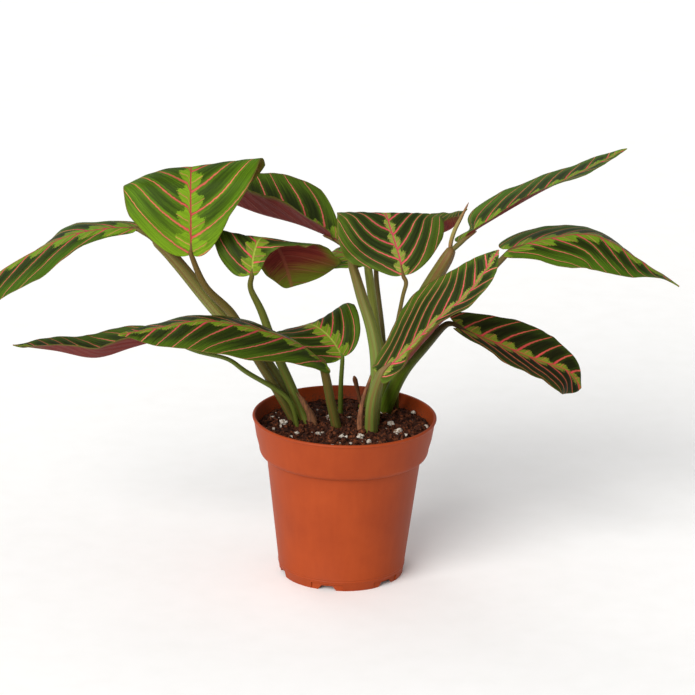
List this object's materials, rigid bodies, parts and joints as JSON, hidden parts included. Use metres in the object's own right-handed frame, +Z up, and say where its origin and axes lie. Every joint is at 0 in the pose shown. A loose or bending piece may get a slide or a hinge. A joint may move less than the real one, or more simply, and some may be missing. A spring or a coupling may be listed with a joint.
{
  "type": "potted prayer plant maranta",
  "caption": "Broad-leaved prayer plant with red-veined, lime-marked leaves on arching stalks, rooted in peat in a tapered terracotta-coloured nursery pot.",
  "frame": {"origin": "centre of the flat pad under the pot, on the surface the pot stands on", "axes": "+Z up out of the pot, +X along the plant's widest spread, -Y towards the viewer"},
  "size_m": [0.4186, 0.1565, 0.2509],
  "materials": {
    "pot": "satin moulded polypropylene, terracotta coloured",
    "soil": "moist fibrous peat",
    "leaf": "satin leaf with lime midrib band, blackish blotches and red veins, burgundy underneath",
    "petiole": "satin striated green to brown stalk",
    "sheath": "satin pale green sheath with brown edges",
    "husk": "dry papery brown",
    "perlite": "rough white granule"
  },
  "bodies": {
    "root": {"pot": "pot", "soil": "soil", "leaf_far_left": "leaf", "leaf_top_left": "leaf", "leaf_back": "leaf", "leaf_curled": "leaf", "leaf_low_front": "leaf", "leaf_low_left": "leaf", "leaf_low_small": "leaf", "leaf_centre": "leaf", "leaf_behind_centre": "leaf", "leaf_high_right": "leaf", "leaf_drooping_right": "leaf", "leaf_low_right": "leaf", "leaf_diagonal": "leaf", "leaf_hidden_young": "leaf", "petiole_far_left": "petiole", "petiole_top_left": "petiole", "petiole_curled": "petiole", "petiole_low_left": "petiole", "petiole_low_front": "petiole", "petiole_low_small": "petiole", "petiole_back": "petiole", "petiole_behind_centre": "petiole", "petiole_centre": "petiole", "petiole_high_right": "petiole", "petiole_drooping_right": "petiole", "petiole_low_right": "petiole", "sheath_left": "sheath", "petiole_diagonal": "sheath", "sheath_back": "sheath", "sheath_hidden_young": "sheath", "sheath_right": "sheath", "rolled_young_leaf": "sheath", "dead_stub": "husk", "husk_left": "husk", "husk_middle": "husk", "curly_root": "husk", "perlite_1": "perlite", "perlite_2": "perlite", "perlite_3": "perlite", "perlite_4": "perlite", "perlite_5": "perlite", "perlite_6": "perlite", "perlite_7": "perlite", "perlite_8": "perlite", "perlite_9": "perlite", "perlite_10": "perlite"}
  },
  "joints": []
}
